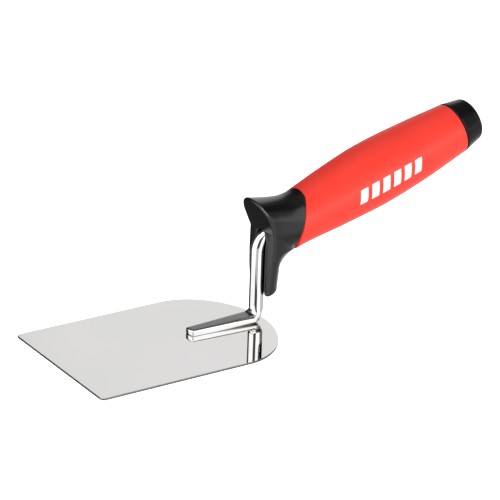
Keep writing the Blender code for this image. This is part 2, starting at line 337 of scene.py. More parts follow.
smudges = buildSmudges()
hairlines = buildHairlines()
mouldGrain = buildMouldGrain()


def upwardness(tree):
    return parted(tree, tree.nodes.new("ShaderNodeNewGeometry").outputs["Normal"])["Z"]


def tinted(tree, share, first, second):
    ends = [(*end, 1) if isinstance(end, tuple) else end for end in (first, second)]
    return mixColor(tree, share, *ends)


def steelFinish(name, look):
    material, tree, shader, place = newMaterial(name, look["color"], look["polish"], 1.0)
    lines = {"Scale": look["hairlineScale"], "Density": look["hairlines"]}
    scratch = placed(tree, hairlines, Vector=place, **lines)
    touch = placed(tree, smudges, Vector=place, Scale=look["smudgeScale"], Amount=look["smudges"])
    tone = between(tree, noise(tree, place, look["toneScale"], 2.0), 0.3, 0.7)
    shade = tinted(tree, tone, look["color"], look["toneColor"])
    rough = timesPlus(tree, scratch["Mask"], look["scratchRough"], look["polish"])
    rough = timesPlus(tree, touch["Mask"], look["smudgeRough"], rough)
    return material, tree, shader, place, shade, rough, scratch


bladeLook = {
    "color": (0.66, 0.657, 0.648),
    "toneColor": (0.685, 0.675, 0.672),
    "polish": 0.03,
    "hairlineScale": 1400.0,
    "hairlines": 0.35,
    "scratchRough": 0.035,
    "smudgeScale": 55.0,
    "smudges": 0.5,
    "smudgeRough": 0.03,
    "toneScale": 14.0,
    "edgeShadeColor": (0.16, 0.155, 0.15),
    "edgeRough": 0.3,
    "bumpHeight": 0.004 * mm,
}


def bladeFinish():
    look = bladeLook
    material, tree, shader, _, shade, rough, scratch = steelFinish("mirrorSteel", look)
    facing = maths(tree, "ABSOLUTE", upwardness(tree))
    edge = between(tree, facing, 0.25, 0.75, 1.0, 0.0)  # the sheared edge is coarser, and its darker colour is painted shade standing for the shaded floor it mirrors
    plug(tree, tinted(tree, edge, shade, look["edgeShadeColor"]), shader["Base Color"])
    plug(tree, timesPlus(tree, edge, look["edgeRough"], rough), shader["Roughness"])
    height = times(tree, scratch["Height"], 0.5)
    plug(tree, bumped(tree, height, look["bumpHeight"], 0.35), shader["Normal"])
    return material


shankLook = {
    "color": (0.70, 0.695, 0.69),
    "toneColor": (0.66, 0.655, 0.65),
    "polish": 0.05,
    "hairlineScale": 1100.0,
    "hairlines": 0.4,
    "scratchRough": 0.05,
    "smudgeScale": 90.0,
    "smudges": 0.4,
    "smudgeRough": 0.05,
    "toneScale": 90.0,
    "paintedReflectionColor": (0.22, 0.218, 0.22),
    "paintedReflectionStreakColor": (0.30, 0.295, 0.295),
    "streakScale": 2600.0,
    "paintedReflectionRough": 0.26,
    "paintedReflectionFacing": (0.90, 0.985),  # upward facing at which the painted dark reflection starts and is full
    "heelFacing": (-0.42, -0.28),  # added at the heel, where it runs down the rounded corner
    "heelReach": (26 * mm, 6 * mm),
    "paintedReflectionBelow": (7.5 * mm, 5.5 * mm),
    "paintedReflectionFrom": (0.5 * mm, 2.5 * mm),
    "creviceShadeColor": (0.03, 0.028, 0.026),
    "creviceShadeReach": 34 * mm,  # from the neck, the length over which painted shade darkens the crevice where the foot meets the blade
    "creviceShadeRise": 0.9 * mm,
    "creviceShadeBase": 0.2 * mm,
    "creviceShadeEdge": (-0.25 * mm, 0.15 * mm),
    "creviceShadeRough": 0.2,
    "tintColor": (0.62, 0.55, 0.33),
    "tintReach": 13 * mm,  # how far the welding heat coloured the foot
    "tintMiddle": 3.5 * mm,
    "tintBelow": (7.0 * mm, 1.5 * mm),
    "tintShare": 0.3,
    "bumpHeight": 0.008 * mm,
}


def shankFinish():
    look = shankLook
    material, tree, shader, place, shade, rough, scratch = steelFinish("drawnSteel", look)
    spot = parted(tree, place)
    fromNeck = maths(tree, "SUBTRACT", neckX, spot["X"])
    low = between(tree, spot["Z"], *look["paintedReflectionBelow"])
    nearHeel = between(tree, fromNeck, *look["heelReach"])
    limits = [
        timesPlus(tree, nearHeel, added, facing)
        for added, facing in zip(look["heelFacing"], look["paintedReflectionFacing"])
    ]
    # painted reflection: the foot's upward faces and the heel's rounded corner are painted a dark
    # streaked grey in place of the dark overhead they mirror; glossy rays don't see this colour, and the
    # streaks also give a real bump and rougher finish
    onTop = times(tree, between(tree, upwardness(tree), *limits), low)
    paintedReflection = times(tree, onTop, between(tree, fromNeck, *look["paintedReflectionFrom"]))
    mirrored = tree.nodes.new("ShaderNodeLightPath").outputs["Is Glossy Ray"]
    paintedReflection = times(tree, paintedReflection, maths(tree, "SUBTRACT", 1.0, mirrored))

    away = maths(tree, "ABSOLUTE", maths(tree, "SUBTRACT", fromNeck, look["tintMiddle"]))
    near = between(tree, away, 0.0, look["tintReach"], 1.0, 0.0)
    under = between(tree, spot["Z"], *look["tintBelow"])
    patchy = between(tree, noise(tree, place, 260.0, 3.0), 0.3, 0.7, 0.55, 1.0)
    tint = times(tree, times(tree, near, under), patchy)
    tint = times(tree, tint, look["tintShare"])
    shade = tinted(tree, tint, shade, look["tintColor"])

    drawn = stretched(tree, place, (0.05, 1.0, 1.0))
    streak = noise(tree, drawn, look["streakScale"], 3.0, 0.65)
    streaks = between(tree, streak, 0.35, 0.65)
    paintedReflectionShade = tinted(tree, streaks, look["paintedReflectionColor"], look["paintedReflectionStreakColor"])
    shade = tinted(tree, paintedReflection, shade, paintedReflectionShade)

    # painted shade: a near-black band along the bottom of the foot, rising towards the heel, stands for
    # the shaded crevice between the foot and the blade
    toHeel = between(tree, fromNeck, look["creviceShadeReach"], 0.0)
    base = bladeHigh.z + look["creviceShadeBase"]
    creviceShadeTop = timesPlus(tree, toHeel, look["creviceShadeRise"], base)
    above = maths(tree, "SUBTRACT", spot["Z"], creviceShadeTop)
    creviceShade = between(tree, above, *look["creviceShadeEdge"], 1.0, 0.0)
    creviceShade = times(tree, creviceShade, timesPlus(tree, toHeel, 0.75, 0.2))
    plug(tree, tinted(tree, creviceShade, shade, look["creviceShadeColor"]), shader["Base Color"])

    rough = timesPlus(tree, paintedReflection, look["paintedReflectionRough"], rough)
    plug(tree, timesPlus(tree, creviceShade, look["creviceShadeRough"], rough), shader["Roughness"])
    fine = times(tree, scratch["Height"], 0.4)
    height = maths(tree, "ADD", fine, times(tree, streak, paintedReflection))
    plug(tree, bumped(tree, height, look["bumpHeight"], 0.4), shader["Normal"])
    return material


plasticLook = {
    "color": (0.0045, 0.0045, 0.005),
    "rubbedColor": (0.0062, 0.0062, 0.0068),
    "roughness": 0.21,
    "sheen": 0.41,
    "grainScale": 2600.0,
    "grainHeight": 0.03 * mm,
    "smudges": 0.3,
    "mirroredReach": 9 * mm,  # beyond it the steel doesn't mirror the plastic
}
capLook = {**plasticLook, "color": (0.0042, 0.0042, 0.0046), "roughness": 0.24, "sheen": 0.18}


def plasticFinish(name, look):
    fixed = {"Specular IOR Level": look["sheen"]}
    material, tree, shader, place = newMaterial(name, look["color"], look["roughness"], **fixed)
    grain = placed(tree, mouldGrain, Vector=place, Scale=look["grainScale"], Seam=2.0)
    touch = placed(tree, smudges, Vector=place, Scale=85.0, Amount=look["smudges"])
    plug(tree, tinted(tree, grain["Shade"], look["color"], look["rubbedColor"]), shader["Base Color"])
    path = tree.nodes.new("ShaderNodeLightPath").outputs
    distant = maths(tree, "GREATER_THAN", path["Ray Length"], look["mirroredReach"])
    hidden = times(tree, distant, path["Is Glossy Ray"])
    plug(tree, maths(tree, "SUBTRACT", 1.0, hidden), shader["Alpha"])
    rough = timesPlus(tree, touch["Mask"], -0.05, look["roughness"])
    rough = timesPlus(tree, grain["Shade"], 0.04, rough)
    plug(tree, rough, shader["Roughness"])
    plug(tree, bumped(tree, grain["Height"], look["grainHeight"], 0.35), shader["Normal"])
    return material


gripLook = {
    "color": (0.83, 0.038, 0.023),
    "fadedColor": (0.86, 0.045, 0.028),
    "smudgedColor": (0.76, 0.03, 0.024),
    "roughness": 0.4,
    "sheen": 0.24,
    "grainScale": 2200.0,
    "grainHeight": 0.04 * mm,
}


def gripFinish():
    look = gripLook
    fixed = {"Specular IOR Level": look["sheen"]}
    material, tree, shader, place = newMaterial("redSoftGrip", look["color"], look["roughness"], **fixed)
    grain = placed(tree, mouldGrain, Vector=place, Scale=look["grainScale"], Seam=1.0)
    touch = placed(tree, smudges, Vector=place, Scale=70.0, Amount=0.8)
    shade = tinted(tree, grain["Shade"], look["color"], look["fadedColor"])
    touched = times(tree, touch["Mask"], 0.25)
    plug(tree, tinted(tree, touched, shade, look["smudgedColor"]), shader["Base Color"])
    rough = timesPlus(tree, touch["Mask"], 0.08, look["roughness"])
    plug(tree, rough, shader["Roughness"])
    plug(tree, bumped(tree, grain["Height"], look["grainHeight"], 0.45), shader["Normal"])
    return material


printLook = {
    "color": (0.93, 0.92, 0.91),
    "wornColor": (0.86, 0.70, 0.67),
    "roughness": 0.42,
    "wornRough": 0.15,
    "grainScale": 2200.0,
    "grainHeight": 0.03 * mm,
}


def printFinish():
    look = printLook
    material, tree, shader, place = newMaterial("whitePrint", look["color"], look["roughness"])
    grain = placed(tree, mouldGrain, Vector=place, Scale=look["grainScale"], Seam=0.0)
    worn = placed(tree, smudges, Vector=place, Scale=320.0, Amount=0.5)["Mask"]
    plug(tree, tinted(tree, worn, look["color"], look["wornColor"]), shader["Base Color"])
    rough = timesPlus(tree, worn, look["wornRough"], look["roughness"])
    plug(tree, rough, shader["Roughness"])
    plug(tree, bumped(tree, grain["Height"], look["grainHeight"], 0.35), shader["Normal"])
    return material


bladeSteel = bladeFinish()
shankSteel = shankFinish()
blackPlastic = plasticFinish("blackNylon", plasticLook)
capPlastic = plasticFinish("capNylon", capLook)
redGrip = gripFinish()
whitePrint = printFinish()
print("finishes ready")


bladeShape = {
    "rearDepth": 33 * mm,
    "rearFullness": 1.93,
    "cornerRadius": 2.2 * mm,
    "edgeRound": 0.16 * mm,
    "flatMargin": 0.1 * mm,
    "columns": 16,
    "cornerSteps": 10,
    "sideSteps": 12,
    "rearSteps": 80,
}


def bladeSide():
    shape = bladeShape
    half = bladeHigh.y
    front, rear = bladeLow.x, bladeHigh.x
    corner, rearDepth = shape["cornerRadius"], shape["rearDepth"]
    points = []
    for along, across in rounded(corner, shape["cornerSteps"]):
        points.append((front + along, half - across))
    rearStart = rear - rearDepth
    for k in range(1, shape["sideSteps"]):
        points.append((blend(front + corner, rearStart, k / shape["sideSteps"]), half))
    power = 2 / shape["rearFullness"]
    for turn in quarterTurn(shape["rearSteps"]):
        along = rearStart + rearDepth * sin(turn) ** power
        points.append((along, half * max(0.0, cos(turn)) ** power))
    return points


def shrunk(points, inset):
    moved = []
    for k, (along, across) in enumerate(points):
        before = points[max(k - 1, 0)]
        after = points[min(k + 1, len(points) - 1)]
        slope = Vector((after[0] - before[0], after[1] - before[1])).normalized()
        if k == 0:
            slope = Vector((0, 1))
        if k == len(points) - 1:
            slope = Vector((0, -1))
        moved.append((along + slope.y * inset, across - slope.x * inset))
    return [(along, max(across, 0.0)) for along, across in moved]


def buildBlade():
    side = bladeSide()
    top, edge = bladeHigh.z, bladeShape["edgeRound"]
    levels = [(edge + bladeShape["flatMargin"], 0.0)]  # keeps the broad faces flat to the edge
    levels += [(inset, height) for height, inset in rounded(edge, 3)]
    levels += [(inset, top - height) for inset, height in reversed(levels)]
    bm = bmesh.new()
    columns = bladeShape["columns"]
    rings = []
    for inset, height in levels:
        points = shrunk(side, inset)
        ring = [(x, y, height) for x, y in points[:-1]]
        ring.append((points[-1][0], 0, height))
        ring += [(x, -y, height) for x, y in reversed(points[:-1])]
        first = points[0][1]
        ring += [(points[0][0], -first + 2 * first * c / columns, height) for c in range(1, columns)]
        rings.append(ring)
    loops = skin(bm, rings, closeStart=False, closeEnd=False)
    half = len(side)
    for loop in (loops[0], loops[-1]):
        height = loop[0].co.z
        rows = []
        for k in range(half - 1):
            left, right = loop[k], loop[2 * half - 2 - k]
            if k == 0:
                middle = list(reversed(loop[2 * half - 1 :]))
            else:
                middle = []
                for c in range(1, columns):
                    point = left.co.lerp(right.co, c / columns)
                    middle.append(bm.verts.new((point.x, point.y, height)))
            rows.append([left, *middle, right])
        for low, high in zip(rows, rows[1:]):
            for c in range(columns):
                bm.faces.new((low[c], low[c + 1], high[c + 1], high[c]))
        for c in range(columns):
            bm.faces.new((rows[-1][c], rows[-1][c + 1], loop[half - 1]))
    piece = meshPiece("bladeSheet", bm, bladeSteel, 60)
    return settle(piece, "polished_steel", "blade")


buildBlade()
print("blade built")


shankShape = {
    "footReach": 37.9 * mm,
    "heelRadius": 4.6 * mm,
    "tipWidth": 5.8 * mm,
    "tipHeight": 3.0 * mm,
    "heelWidth": 9.6 * mm,
    "heelHeight": 3.5 * mm,
    "upperCorner": (0.9 * mm, 1.7 * mm),  # at the tip and at the heel
    "lowerCorner": 0.3 * mm,
    "tipRound": 0.7 * mm,
    "tipBulge": 0.5 * mm,
    "tipTurn": 0.08,  # slope of the end face away from square
    "bulgeReach": 5 * mm,
    "tangLength": 30 * mm,
    "arcSteps": 9,
    "sideSteps": 4,
    "endSteps": 6,
    "roundSteps": 4,
    "footSteps": 24,
    "heelSteps": 28,
    "neckSteps": 8,
    "crownSteps": 24,
}


def footSection(width, height, roundness, inset=0.0):
    share = (width - shankShape["tipWidth"]) / (shankShape["heelWidth"] - shankShape["tipWidth"])
    radii = (shankShape["lowerCorner"], blend(*shankShape["upperCorner"], min(max(share, 0.0), 1.0)))
    arcSteps, sideSteps = shankShape["arcSteps"], shankShape["sideSteps"]
    halfWidth, halfHeight = width / 2, height / 2
    corners = ((1, 1), (-1, 1), (-1, -1), (1, -1))
    points = []
    for quarter, (right, upper) in enumerate(corners):
        corner = max(0.1 * mm, radii[upper > 0] - inset)
        hub = Vector((right * (halfWidth - corner), upper * (halfHeight - corner)))
        for k in range(arcSteps + 1):
            turn = pi / 2 * (quarter + k / arcSteps)
            points.append(hub + corner * Vector((cos(turn), sin(turn))))
        following = corners[(quarter + 1) % 4]
        goalCorner = max(0.1 * mm, radii[following[1] > 0] - inset)
        goalWidth, goalHeight = halfWidth - goalCorner, halfHeight - goalCorner
        goal = Vector((following[0] * goalWidth, following[1] * goalHeight))
        turn = pi / 2 * (quarter + 1)
        reach = Vector((cos(turn), sin(turn)))
        for k in range(1, sideSteps):
            points.append(blend(hub + corner * reach, goal + goalCorner * reach, k / sideSteps))
    count = len(points)
    offset = arcSteps / 2 / count
    mixed = []
    for k, point in enumerate(points):
        turn = 2 * pi * (k / count - offset) + pi / 4
        disc = Vector((halfWidth * cos(turn), halfHeight * sin(turn)))
        mixed.append(point.lerp(disc, roundness))
    return mixed


def ringAt(section, centre, heading):
    normal = Vector((-sin(heading), 0, cos(heading)))
    return [centre + Vector((0, p.x, 0)) + normal * p.y for p in section]


def crownRings(section, steps, first):
    rings = []
    for k in range(first, steps + 1):
        turn = crownTurn * k / steps
        reach = Vector((-cos(turn), 0, sin(turn)))
        centre = crownCentre + layout["crownRadius"] * reach
        rings.append(ringAt(section, centre, pi / 2 - turn))
    return rings


def shankRings():
    shape = shankShape
    bottom = bladeHigh.z
    length = shape["footReach"] - shape["heelRadius"]
    tip, tipRound = neckX - shape["footReach"], shape["tipRound"]
    tipWidth, tipHeight = shape["tipWidth"], shape["tipHeight"]
    heelWidth, heelHeight = shape["heelWidth"], shape["heelHeight"]
    middle = bottom + tipHeight / 2
    endSection = footSection(tipWidth - 2 * tipRound, tipHeight - 2 * tipRound, 0, tipRound)
    rings = []
    for k in range(1, shape["endSteps"]):
        section = [p * k / shape["endSteps"] for p in endSection]
        rings.append(ringAt(section, Vector((tip, 0, middle)), 0))
    for along, inset in rounded(tipRound, shape["roundSteps"]):
        section = footSection(tipWidth - 2 * inset, tipHeight - 2 * inset, 0, inset)
        rings.append(ringAt(section, Vector((tip + along, 0, middle)), 0))
    for k in range(1, shape["footSteps"] + 1):
        t = k / shape["footSteps"]
        height = blend(tipHeight, heelHeight, t)
        centre = Vector((blend(tip + tipRound, tip + length, t), 0, bottom + height / 2))
        rings.append(ringAt(footSection(blend(tipWidth, heelWidth, t), height, 0), centre, 0))
    for ring in rings:
        for point in ring:
            fade = max(0.0, 1 - (point.x - tip) / shape["bulgeReach"]) ** 2
            bulge = shape["tipBulge"] * (1 - (2 * point.y / tipWidth) ** 2)
            point.x -= fade * (bulge - shape["tipBulge"] + shape["tipTurn"] * point.y)
    bend = Vector((neckX - shape["heelRadius"], 0, bottom + heelHeight / 2 + shape["heelRadius"]))
    rod = 2 * layout["rodRadius"]
    for turn in quarterTurn(shape["heelSteps"], 1):
        t = 1 - cos(turn)
        ease = t * t * (3 - 2 * t)
        roundness = min(1.0, 1.6 * t) ** 0.6
        section = footSection(blend(heelWidth, rod, ease), blend(heelHeight, rod, t), roundness)
        centre = bend + shape["heelRadius"] * Vector((sin(turn), 0, -cos(turn)))
        rings.append(ringAt(section, centre, turn))
    roundRod = footSection(rod, rod, 1)
    for k in range(1, shape["neckSteps"] + 1):
        height = blend(bend.z, layout["neckTop"], k / shape["neckSteps"])
        rings.append(ringAt(roundRod, Vector((neckX, 0, height)), pi / 2))
    rings += crownRings(roundRod, shape["crownSteps"], 1)
    rings.append(ringAt(roundRod, crownEnd + axis * shape["tangLength"], layout["handleAngle"]))
    return rings


def buildShank():
    piece = loftPiece("shankRod", shankRings(), shankSteel)
    return settle(piece, "shank_steel", "shank")


buildShank()
print("shank built")


gripShape = {
    "length": 94.6 * mm,
    "runIn": -14.19 * mm,
    "frontRadius": 13.1 * mm,
    "bellyRadius": 16.05 * mm,
    "rearRadius": 13.0 * mm,
    "frontDrop": 0.2 * mm,
    "shoulder": (0.22, 0.25 * mm),  # share of the length, and how far past the mean radius
    "bellyShare": 0.47,
    "haunch": (0.75, 0.5 * mm),
    "bow": 0.3 * mm,  # how much the middle rises above the straight axis
    "seamSetback": 5.1 * mm,
    "seamSlope": 0.56,
    "seamBow": (1.5 * mm, 2.3 * mm),  # how far the seam runs back at the top and the underside
    "seamBowAt": 10.6 * mm,
    "seamBowLimit": 11.5 * mm,
    "seamGap": 0.3 * mm,
    "edgeRound": 0.45 * mm,
    "innerRadius": 11.45 * mm,
    "sides": 192,
    "rows": 110,
}


def gripRadius(station):
    shape = gripShape
    length = shape["length"]
    front, belly, rear = shape["frontRadius"], shape["bellyRadius"], shape["rearRadius"]
    outline = (
        (shape["runIn"], front - shape["frontDrop"]),
        (0, front),
        (shape["shoulder"][0] * length, (front + belly) / 2 + shape["shoulder"][1]),
        (shape["bellyShare"] * length, belly),
        (shape["haunch"][0] * length, (rear + belly) / 2 + shape["haunch"][1]),
        (length, rear),
    )
    return easeThrough(outline, min(max(station, shape["runIn"]), length))


def gripBow(station):
    share = min(max(station / (0.8 * gripShape["length"]), 0.0), 1.0)
    return gripShape["bow"] * sin(pi * share) ** 2


def gripPoint(station, angle, radius):
    return onHandle(station, radius * cos(angle), gripBow(station) + radius * sin(angle))


def seamBow(up):
    shape = gripShape
    share = min(abs(up), shape["seamBowLimit"]) / shape["seamBowAt"]
    return shape["seamBow"][0 if up > 0 else 1] * share**3


def seamStation(up):
    return -gripShape["seamSetback"] + gripShape["seamSlope"] * up + seamBow(up)


def buildSleeve():
    shape = gripShape
    rounding = shape["edgeRound"]
    ends = [(0.0, -1.0 * mm)]
    ends += [(along, -drop) for along, drop in rounded(rounding, 5)]
    rows = [(0, along, drop) for along, drop in ends]
    rows += [(k / shape["rows"], 0.0, 0.0) for k in range(1, shape["rows"])]
    rows += [(1, -along, drop) for along, drop in reversed(ends)]
    rings = []
    rear = shape["length"]
    for share, along, drop in rows:
        ring = []
        for angle in fullTurn(shape["sides"]):
            front = seamStation(shape["frontRadius"] * sin(angle)) + shape["seamGap"] / 2
            station = blend(front + rounding, rear - rounding, share)
            if share in (0, 1):
                station = (front if share == 0 else rear) + along
            ring.append(gripPoint(station, angle, gripRadius(station) + drop))
        rings.append(ring)
    for end in (1, 0):
        ring = []
        for angle in fullTurn(shape["sides"]):
            front = seamStation(shape["innerRadius"] * sin(angle)) + shape["seamGap"] / 2
            station = rear if end else front
            ring.append(gripPoint(station, angle, shape["innerRadius"]))
        rings.append(ring)
    piece = loftPiece("gripSleeve", rings, redGrip, loop=True)
    piece.visible_glossy = False  # as with the black plastic, the steel doesn't mirror it
    return settle(piece, "red_soft_grip", "grip_sleeve")


sleevePiece = buildSleeve()
print("sleeve built")


markShape = {
    "bars": 6,
    "start": 26.4 * mm,
    "end": 66.0 * mm,
    "lowAngle": radians(-9.0),
    "highAngle": radians(16.5),
    "barShare": 0.66,  # of each step that the bar fills
    "lastGap": 6 * mm,  # about one step, because no gap follows the last bar
    "slant": 2.4 * mm,
    "cornerRound": 0.5 * mm,
    "thickness": 0.06 * mm,
    "sunk": 0.15 * mm,
    "topShare": 0.985,
    "capSteps": 8,
}


def barOutline(low, high, height, corner):
    slant = markShape["slant"]
    corners = [(low, 0), (high, 0), (high + slant, height), (low + slant, height)]
    points = []
    for k, here in enumerate(corners):
        here = Vector(here)
        before, after = Vector(corners[k - 1]), Vector(corners[(k + 1) % 4])
        toBefore, toAfter = (before - here).normalized(), (after - here).normalized()
        first, second = here + toBefore * corner, here + toAfter * corner
        for step in range(7):
            t = step / 6
            points.append((1 - t) ** 2 * first + 2 * t * (1 - t) * here + t * t * second)
        goal = after - toAfter * corner
        points += [blend(second, goal, step / 12) for step in range(1, 12)]
    return points


def markPoint(p, raised):
    angle = pi - (markShape["lowAngle"] + p.y / gripShape["bellyRadius"])
    return gripPoint(p.x, angle, gripRadius(p.x) + raised)


def buildMark():
    shape = markShape
    bm = bmesh.new()
    height = (shape["highAngle"] - shape["lowAngle"]) * gripShape["bellyRadius"]
    lastGap = (1 - shape["barShare"]) * shape["lastGap"]
    pitch = (shape["end"] - shape["start"] - shape["slant"] + lastGap) / shape["bars"]
    thickness, sunk, topShare = shape["thickness"], shape["sunk"], shape["topShare"]
    levels = [(1, -sunk), (1, thickness * 0.6), (topShare, thickness)]
    levels += [(topShare * (1 - k / shape["capSteps"]), thickness) for k in range(1, shape["capSteps"])]
    for bar in range(shape["bars"]):
        low = shape["start"] + pitch * bar
        outline = barOutline(low, low + pitch * shape["barShare"], height, shape["cornerRound"])
        middle = sum(outline, Vector((0, 0))) / len(outline)
        rings = [
            [markPoint(middle + (p - middle) * shrink, raised) for p in outline]
            for shrink, raised in levels
        ]
        rows = skin(bm, rings, closeStart=False, closeEnd=False)
        for ends, raised in ((rows[-1], thickness), (rows[0], -sunk)):
            fan(bm, ends, bm.verts.new(markPoint(middle, raised)))
    piece = meshPiece("gripMark", bm, whitePrint, 50)
    piece.visible_glossy = False
    return settle(piece, None)


buildMark()
print("mark built")


bolsterShape = {
    "reach": 20 * mm,
    "thumbRise": 20.9 * mm,
    "flareLength": 19 * mm,
    "flareFall": 1.5,  # exponent of the thumb rest's hollow
    "sideFlare": (1.25, 0.8),
    "thumbLean": 1.8 * mm,
    "faceHalfWidth": 11.8 * mm,
    "faceBelly": 9.5 * mm,
    "faceSquareness": (2.3, 1.8),  # above and below the widest level
    "rimRound": 1.2 * mm,
    "guardFront": 1.25 * mm,
    "guardDepth": 6.4 * mm,
    "guardSwell": 0.9 * mm,
    "guardSpread": 2.0 * mm,  # how much wider it is at its root
    "guardHalfWidth": 8.7 * mm,
    "guardTip": 13.9 * mm,
    "guardTipRound": 4.6 * mm,
    "guardFillet": 9.5 * mm,
    "grooveGap": 0.7 * mm,
    "guardSquareness": (2.7, 3.0),
    "guardLean": (0.2, 0.3),  # shares of the depth by which the tip is rounded, front and rear
    "overlap": 0.3 * mm,
    "faceSteps": 6,
    "coneSteps": 40,
    "tipSteps": 10,
    "stemSteps": 6,
    "filletSteps": 12,
    "voxel": 0.3 * mm,
    "smoothing": 3,
    "bowReach": 8 * mm,  # length over which the seam's bow fades out
}


def oval(count, halfWidth, top, bottom, level=0.0, squareness=(2.0, 2.0)):
    points = []
    for angle in fullTurn(count):
        across, upward = cos(angle), sin(angle)
        power = 2 / squareness[0 if upward >= 0 else 1]
        reach = top - level if upward >= 0 else level - bottom
        across = halfWidth * copysign(abs(across) ** power, across)
        points.append((across, level + reach * copysign(abs(upward) ** power, upward)))
    return points


def bolsterRings():
    shape = bolsterShape
    rimRound, thumbRise, faceHalf = shape["rimRound"], shape["thumbRise"], shape["faceHalfWidth"]
    face = -shape["reach"]
    rim = face + rimRound
    rear = gripShape["seamSlope"] * gripShape["frontRadius"] + 3 * mm
    rows = []
    for along, inset in rounded(rimRound, shape["faceSteps"]):
        rows.append((face + along, thumbRise - inset, faceHalf - inset, 1.0))
    gain, fall = shape["sideFlare"]
    for k in range(1, shape["coneSteps"] + 1):
        station = rim + (rear - rim) * k / shape["coneSteps"]
        flare = max(0.0, 1 - (station - rim) / shape["flareLength"])
        radius = gripRadius(station)
        top = radius + (thumbRise - radius) * flare ** shape["flareFall"]
        halfWidth = radius + (faceHalf - radius) * min(1.0, gain * flare) ** fall
        rows.append((station, top, halfWidth, flare**1.5))
    rings = []
    for station, top, halfWidth, share in rows:
        squareness = [2.0 + (power - 2.0) * share for power in shape["faceSquareness"]]
        level = shape["faceBelly"] * share
        ring = []
        for across, up in oval(96, halfWidth, top, -gripRadius(station), level, squareness):
            lean = shape["thumbLean"] * share * max(0.0, up / thumbRise) ** 2
            ring.append(onHandle(station - lean, across, up))
        rings.append(ring)
    return rings


def guardRings():
    shape = bolsterShape
    angle = layout["handleAngle"]
    depth, swell, fillet = shape["guardDepth"], shape["guardSwell"], shape["guardFillet"]
    half, spread = shape["guardHalfWidth"], shape["guardSpread"]
    tip, tipRound = shape["guardTip"], shape["guardTipRound"]
    front = neckX + shape["guardFront"]
    rear = front + depth
    root = rear + swell
    meet = root + fillet * (1 - cos(crownTurn))
    under = handleOrigin - lift * gripShape["frontRadius"]
    top = under.z + (meet - under.x) * tan(angle) + shape["overlap"]
    base = top - fillet * sin(crownTurn)
    nearLean, farLean = shape["guardLean"]
    levels = []
    for rise, tuck in rounded(1, shape["tipSteps"]):
        height = tip + tipRound * rise
        near, far = front + nearLean * depth * tuck, rear - farLean * depth * tuck
        levels.append((height, half - tipRound * tuck, near, far, 0))
    for k in range(1, shape["stemSteps"] + 1):
        t = k / shape["stemSteps"]
        height = blend(tip + tipRound, base, t)
        levels.append((height, half + spread * t / 2, front, rear + swell * t, t))
    for k in range(1, shape["filletSteps"] + 1):
        turn = crownTurn * k / shape["filletSteps"]
        halfWidth = half + spread * (0.5 + 0.5 * k / shape["filletSteps"])
        far = root + fillet * (1 - cos(turn))
        levels.append((base + fillet * sin(turn), halfWidth, front, far, 1))
    inside = crownEnd.z + layout["rodRadius"]
    levels.append((inside, half + spread, front + 0.2 * mm, meet, 0))
    rings = []
    for height, halfWidth, near, far, rise in levels:
        deep = far - near
        ring = []
        for across, back in oval(72, halfWidth, deep, 0, 0.1 * deep, shape["guardSquareness"]):
            drop = gripShape["frontRadius"] - sqrt(gripShape["frontRadius"] ** 2 - across**2)
            up = height + rise * back / deep * drop / cos(angle)
            ring.append(Vector((near + back, across, up)))
        rings.append(ring)
    return rings


def channelRings():
    radius = layout["rodRadius"] + bolsterShape["grooveGap"]
    section = [radius * Vector((cos(turn), sin(turn))) for turn in fullTurn(64)]
    rings = [ringAt(section, Vector((neckX, 0, 0)), pi / 2)]
    rings += crownRings(section, 24, 0)
    rings.append(ringAt(section, crownEnd + axis * 3 * mm, layout["handleAngle"]))
    return rings


def buildBolster():
    shape = bolsterShape
    piece = loftPiece("bolster", bolsterRings(), blackPlastic)
    combine(piece, "UNION", loftPiece("guardBlank", guardRings(), None))
    combine(piece, "DIFFERENCE", loftPiece("channelBlank", channelRings(), None))
    remesh = piece.modifiers.new("remesh", "REMESH")
    remesh.mode = "VOXEL"
    remesh.voxel_size = shape["voxel"]
    soften = piece.modifiers.new("soften", "SMOOTH")
    soften.factor = 0.5
    soften.iterations = shape["smoothing"]
    finished(piece)
    bm = bmesh.new()
    bm.from_mesh(piece.data)
    tilt = Vector((axis.x, 0, axis.z)) - lift * gripShape["seamSlope"]
    spot = onHandle(seamStation(0) - gripShape["seamGap"] / 2, 0, 0)
    everything = bm.verts[:] + bm.edges[:] + bm.faces[:]
    plane = {"plane_co": spot, "plane_no": tilt.normalized()}
    bmesh.ops.bisect_plane(bm, geom=everything, clear_outer=True, **plane)
    rim = [e for e in bm.edges if e.is_boundary]
    bmesh.ops.holes_fill(bm, edges=rim, sides=0)
    bmesh.ops.triangulate(bm, faces=[f for f in bm.faces if len(f.verts) > 4])
    for vert in bm.verts:
        away = vert.co - handleOrigin
        station, up = away.dot(axis), away.dot(lift)
        plane = seamStation(up) - seamBow(up)
        nearness = min(max((station - plane) / shape["bowReach"] + 1, 0.0), 1.0)
        vert.co += axis * seamBow(up) * nearness * nearness * (3 - 2 * nearness)
    bm.to_mesh(piece.data)
    bm.free()
    piece.data.shade_smooth()
    piece.data.set_sharp_from_angle(angle=radians(50))
    piece.data.materials.clear()
    piece.data.materials.append(blackPlastic)
    return settle(piece, "black_plastic", "handle_core")


bolsterPiece = buildBolster()
print("bolster built")


capShape = {
    "length": 11.9 * mm,
    "taper": 1.82 * mm,
    "edgeRound": 2.6 * mm,
    "dish": 0.25 * mm,
    "gap": 0.3 * mm,
    "coreRadius": 11.3 * mm,
    "coreOverrun": (-11.5 * mm, 1.5 * mm),
    "seamRound": 0.35 * mm,
    "seamSink": 0.5 * mm,
}


def turnedPiece(name, profile, material, sides=160):
    rings = [
        [onHandle(station, radius * cos(turn), radius * sin(turn)) for turn in fullTurn(sides)]
        for station, radius in profile
    ]
    return loftPiece(name, rings, material)


